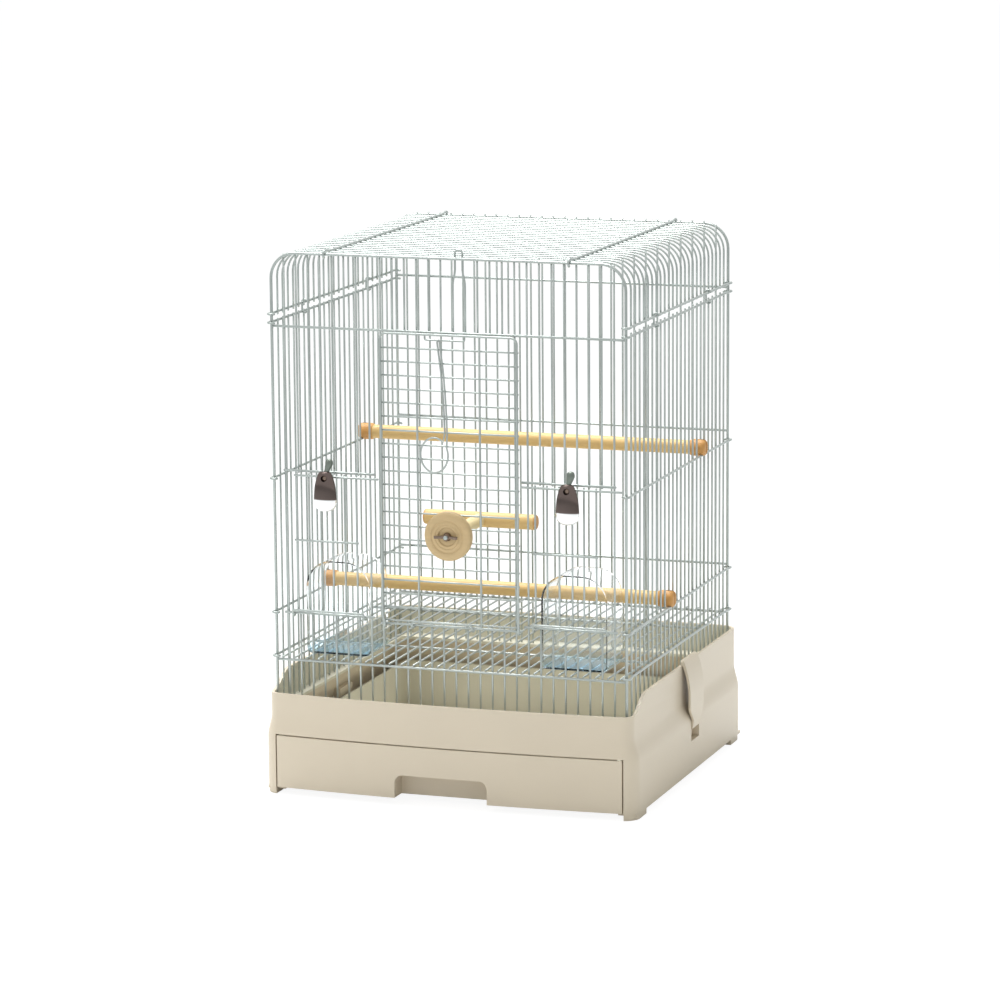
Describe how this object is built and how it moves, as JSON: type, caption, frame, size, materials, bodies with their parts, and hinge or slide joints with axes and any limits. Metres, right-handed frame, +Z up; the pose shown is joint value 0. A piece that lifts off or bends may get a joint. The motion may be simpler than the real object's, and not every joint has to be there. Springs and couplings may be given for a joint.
{
  "type": "canary breeding cage",
  "caption": "Free-standing wire cage with an arched roof on a moulded base with a drawer, a large drop-down door, two feeder doors, clear cups and wooden perches.",
  "frame": {"origin": "middle of the footprint on the floor, under the centre of the bounding box", "axes": "+Z up, -Y to the front with the doors and the drawer, +X to the right seen from the front"},
  "size_m": [0.3924, 0.38, 0.5451],
  "materials": {
    "cream_plastic": "satin moulded",
    "steel_wire": "bright plated wire",
    "chrome_drop": "mirror plated",
    "perch_wood": "smooth unvarnished",
    "clear_plastic": "clear moulded"
  },
  "bodies": {
    "cage": {"base": "cream_plastic", "floor_grid": "steel_wire", "front_panel": "steel_wire", "back_panel": "steel_wire", "side_panel_left": "steel_wire", "side_panel_right": "steel_wire", "roof_grille": "steel_wire", "ring_clip_left_front": "steel_wire", "ring_clip_left_back": "steel_wire", "ring_clip_right_front": "steel_wire", "ring_clip_right_back": "steel_wire", "perch_upper": "perch_wood", "perch_lower": "perch_wood", "clip_pin_left": "steel_wire", "clip_pin_right": "steel_wire"},
    "drawer": {"drawer": "cream_plastic"},
    "large_door": {"large_door": "steel_wire", "perch_disc": "perch_wood", "perch_stem": "perch_wood", "perch_cross_bar": "perch_wood", "perch_bolt": "steel_wire"},
    "latch_rod": {"latch_rod": "steel_wire"},
    "wing_nut": {"wing_nut": "steel_wire"},
    "feeder_door_left": {"feeder_door_left": "steel_wire", "latch_pin_left": "steel_wire"},
    "feeder_door_right": {"feeder_door_right": "steel_wire", "latch_pin_right": "steel_wire"},
    "feeder_latch_left": {"feeder_latch_left": "chrome_drop"},
    "feeder_latch_right": {"feeder_latch_right": "chrome_drop"},
    "cup_left": {"cup_left": "clear_plastic"},
    "cup_right": {"cup_right": "clear_plastic"},
    "side_clip_left": {"side_clip_left": "cream_plastic"},
    "side_clip_right": {"side_clip_right": "cream_plastic"}
  },
  "joints": [
    {"name": "drawer_slide", "type": "slide", "parent": "cage", "child": "drawer", "axis": [0, -1, 0], "range_m": [0, 0.3]},
    {"name": "large_door_hinge", "type": "hinge", "parent": "cage", "child": "large_door", "pos_m": [0, -0.172, 0.177], "axis": [1, 0, 0], "range_deg": [0, 90]},
    {"name": "latch_slide", "type": "slide", "parent": "large_door", "child": "latch_rod", "axis": [0, 0, 1], "range_m": [-0.005, 0]},
    {"name": "wing_nut_spin", "type": "hinge", "parent": "large_door", "child": "wing_nut", "pos_m": [0.0023, -0.183, 0.2675], "axis": [0, 1, 0], "continuous": true},
    {"name": "feeder_door_left_hinge", "type": "hinge", "parent": "cage", "child": "feeder_door_left", "pos_m": [-0.124, -0.172, 0.1816], "axis": [1, 0, 0], "range_deg": [0, 120]},
    {"name": "feeder_latch_left_swing", "type": "hinge", "parent": "feeder_door_left", "child": "feeder_latch_left", "pos_m": [-0.122, -0.182, 0.319], "axis": [0, 1, 0], "range_deg": [-50, 50]},
    {"name": "cup_left_lift", "type": "slide", "parent": "cage", "child": "cup_left", "axis": [0, 0, 1], "range_m": [0, 0.04]},
    {"name": "side_clip_left_hinge", "type": "hinge", "parent": "cage", "child": "side_clip_left", "pos_m": [-0.1895, 0.015, 0.052], "axis": [0, -1, 0], "range_deg": [0, 100]},
    {"name": "feeder_door_right_hinge", "type": "hinge", "parent": "cage", "child": "feeder_door_right", "pos_m": [0.124, -0.172, 0.1816], "axis": [1, 0, 0], "range_deg": [0, 120]},
    {"name": "feeder_latch_right_swing", "type": "hinge", "parent": "feeder_door_right", "child": "feeder_latch_right", "pos_m": [0.125, -0.182, 0.319], "axis": [0, 1, 0], "range_deg": [-50, 50]},
    {"name": "cup_right_lift", "type": "slide", "parent": "cage", "child": "cup_right", "axis": [0, 0, 1], "range_m": [0, 0.04]},
    {"name": "side_clip_right_hinge", "type": "hinge", "parent": "cage", "child": "side_clip_right", "pos_m": [0.1895, 0.015, 0.052], "axis": [0, 1, 0], "range_deg": [0, 100]}
  ]
}
